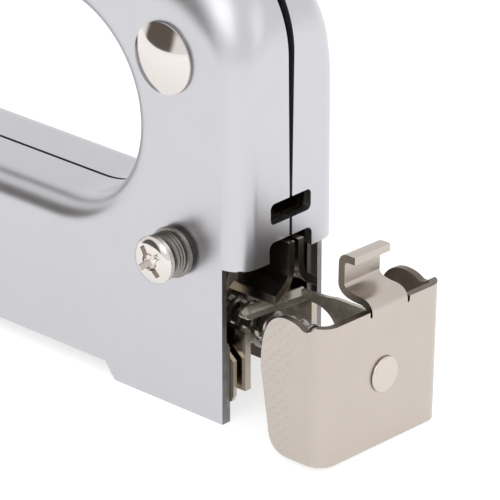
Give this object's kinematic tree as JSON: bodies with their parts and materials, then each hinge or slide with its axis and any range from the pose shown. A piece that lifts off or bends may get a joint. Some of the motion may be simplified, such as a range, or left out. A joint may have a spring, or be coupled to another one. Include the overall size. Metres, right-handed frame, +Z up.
{
  "type": "staple gun",
  "caption": "All-steel hand staple gun with its rear-loading magazine cap, rod and spring drawn part of the way out.",
  "frame": {"origin": "middle of the overall footprint, on the surface that the gun stands on", "axes": "+Z up, +X from the nose towards the loading end of the magazine, +Y to the gun's right side"},
  "size_m": [0.1844, 0.0279, 0.1296],
  "materials": {
    "chrome": "polished",
    "nickel": "satin",
    "steel": "satin",
    "rubber": "matte"
  },
  "bodies": {
    "body": {"left_shell": "chrome", "right_shell": "chrome", "left_channel_plate": "nickel", "right_channel_plate": "nickel", "left_liner": "nickel", "right_liner": "nickel", "track_rail": "steel", "nose_plate": "steel", "latch_plate": "nickel", "bumper": "rubber", "spring_seat": "steel", "main_spring": "steel", "pivot_pin": "nickel", "return_spring": "steel", "rear_rivet": "nickel", "head_rivet_1": "nickel", "head_rivet_2": "nickel", "rear_screw": "nickel", "screw_collar": "nickel", "screw_nut": "nickel"},
    "handle": {"handle_lever": "chrome", "lifting_arm": "steel"},
    "striker": {"plunger": "steel", "driver_blade": "steel"},
    "magazine": {"magazine_cap": "nickel", "cap_rivet": "nickel", "cap_saddle": "nickel", "pusher_rod": "nickel", "rod_stop": "nickel", "pusher_spring": "steel"},
    "pusher": {"pusher": "steel"}
  },
  "joints": [
    {"name": "handle_pivot", "type": "hinge", "parent": "body", "child": "handle", "pos_m": [-0.04615, 0, 0.08], "axis": [0, 1, 0], "range_deg": [0, 26], "stiffness_Nm_per_rad": 1, "springref_deg": -22.92},
    {"name": "striker_slide", "type": "slide", "parent": "body", "child": "striker", "axis": [0, 0, 1], "range_m": [0, 0.0131], "deforming": ["main_spring"]},
    {"name": "magazine_slide", "type": "slide", "parent": "body", "child": "magazine", "axis": [1, 0, 0], "range_m": [-0.0085, 0.1]},
    {"name": "pusher_slide", "type": "slide", "parent": "magazine", "child": "pusher", "axis": [1, 0, 0], "range_m": [0, 0.09], "stiffness_N_per_m": 20, "springref_m": -0.02, "deforming": ["pusher_spring"]}
  ],
  "couplings": [
    {"joint": "striker_slide", "follows": "handle_pivot", "m_per_rad": 0.02868}
  ]
}
